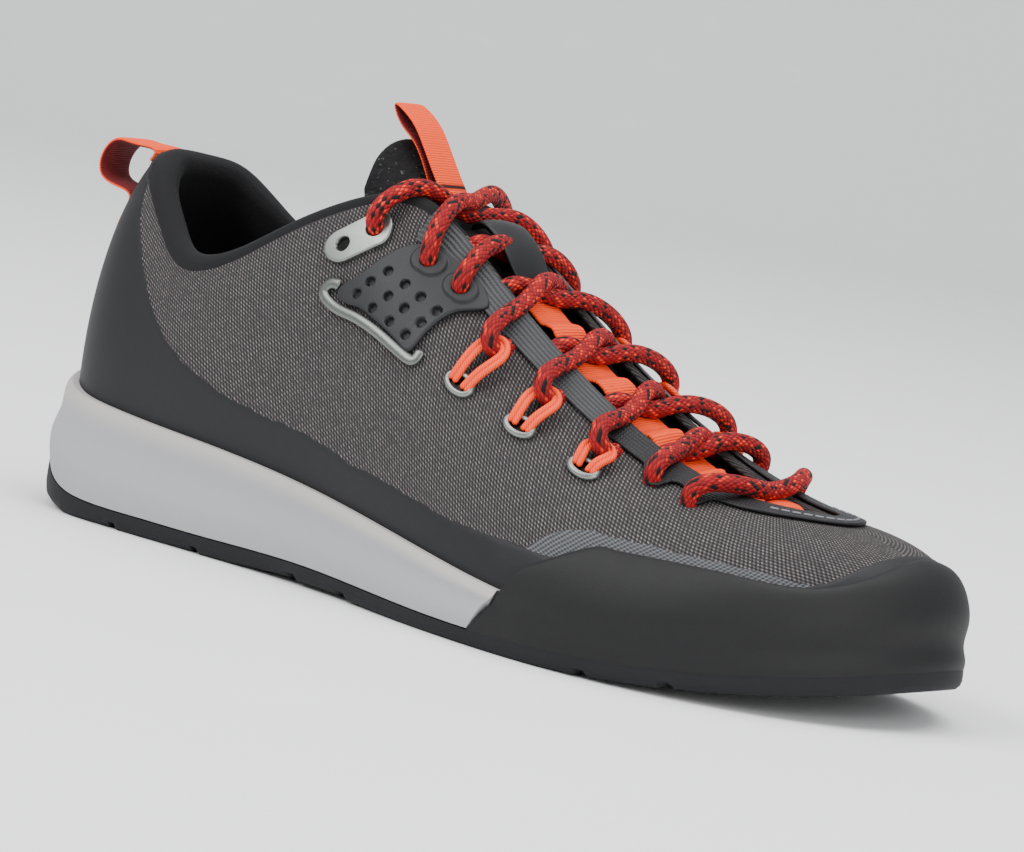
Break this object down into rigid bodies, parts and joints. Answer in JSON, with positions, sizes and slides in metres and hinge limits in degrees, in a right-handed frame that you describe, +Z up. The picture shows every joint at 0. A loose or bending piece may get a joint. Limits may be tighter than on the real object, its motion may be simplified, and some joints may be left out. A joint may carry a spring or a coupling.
{
  "type": "approach shoe",
  "caption": "Low-cut knit approach shoe for the right foot, with a rubber toe rand, foam heel wedge, laced throat and webbing pull loops.",
  "frame": {"origin": "on the ground, in the middle of the flat spot under the heel", "axes": "+X towards the toe, +Y to the inner side of the foot, +Z up"},
  "size_m": [0.2946, 0.1041, 0.129],
  "materials": {
    "outsole_rubber": "matt black moulded rubber",
    "rand_rubber": "smooth matt black rubber",
    "midsole_foam": "light grey moulded foam",
    "upper_knit": "charcoal knit with light flecks",
    "insole_cover": "black textile",
    "lining": "black padded textile",
    "eyestay_film": "ribbed grey film",
    "webbing": "orange ribbed webbing",
    "keeper_film": "smooth black patch",
    "lace": "red round braid with dark flecks",
    "lace_plate": "dark grey moulded plate",
    "brushed_metal": "satin silver",
    "loop_cord": "orange cord"
  },
  "bodies": {
    "root": {"outsole": "outsole_rubber", "midsole": "midsole_foam", "rand": "rand_rubber", "upper": "upper_knit", "insole": "insole_cover", "tongue": "lining", "eyestay": "eyestay_film", "tongue_webbing": "webbing", "tongue_keeper": "keeper_film", "tongue_pull": "webbing", "heel_pull": "webbing", "lace_bar": "lace", "lace_cross_1": "lace", "lace_cross_2": "lace", "lace_cross_3": "lace", "lace_cross_4": "lace", "lace_cross_5": "lace", "lace_cross_6": "lace", "lace_plate_outer": "lace_plate", "eyelet_plate_outer": "brushed_metal", "slot_bar_outer": "brushed_metal", "grommet_outer_1": "brushed_metal", "grommet_outer_2": "brushed_metal", "grommet_outer_3": "brushed_metal", "cord_loop_outer_1": "loop_cord", "cord_loop_outer_2": "loop_cord", "cord_loop_outer_3": "loop_cord", "lace_plate_inner": "lace_plate", "eyelet_plate_inner": "brushed_metal", "slot_bar_inner": "brushed_metal", "grommet_inner_1": "brushed_metal", "grommet_inner_2": "brushed_metal", "grommet_inner_3": "brushed_metal", "cord_loop_inner_1": "loop_cord", "cord_loop_inner_2": "loop_cord", "cord_loop_inner_3": "loop_cord"}
  },
  "joints": []
}
